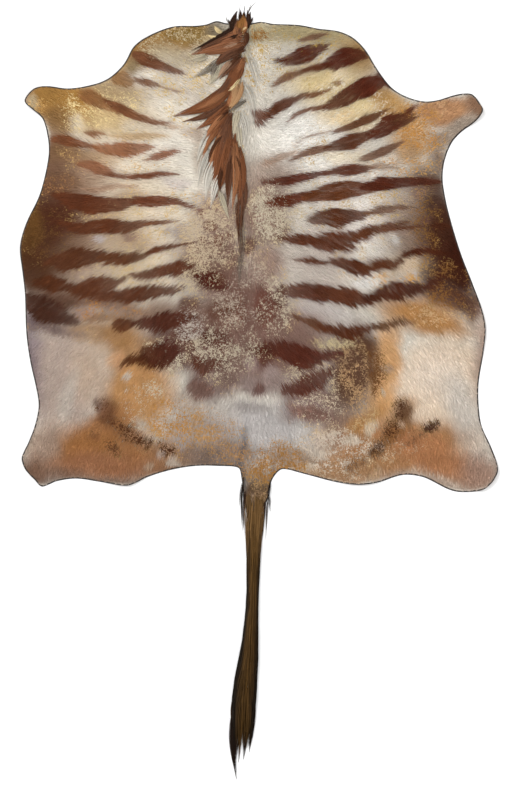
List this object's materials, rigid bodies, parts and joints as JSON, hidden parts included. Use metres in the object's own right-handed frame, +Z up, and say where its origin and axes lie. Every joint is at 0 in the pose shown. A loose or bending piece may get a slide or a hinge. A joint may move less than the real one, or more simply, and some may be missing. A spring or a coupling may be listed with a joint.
{
  "type": "animal pelt",
  "caption": "Whole hair-on animal pelt laid flat, hair side up, with leg flaps, dark stripes on a pale coat, a mane along the spine and a long haired tail.",
  "frame": {"origin": "on the flat underside of the skin, on the line of the spine in the middle of the back", "axes": "+Z up, out of the hair side; +Y along the spine towards the neck; +X to the viewer's right, seen from above with the neck at the top"},
  "size_m": [1.433, 2.278, 0.0294],
  "materials": {
    "striped_coat": "short lying hair on tanned skin, matte, with dark brown stripes; suede below",
    "mane_hair": "long coarse red-brown hair, soft sheen",
    "nape_hair": "stiff dark brown hair, soft sheen",
    "tail_hair": "long coarse near-black brown hair, soft sheen"
  },
  "bodies": {
    "root": {"hide": "striped_coat", "mane": "mane_hair", "nape_tuft": "nape_hair", "tail_hair": "tail_hair"}
  },
  "joints": []
}
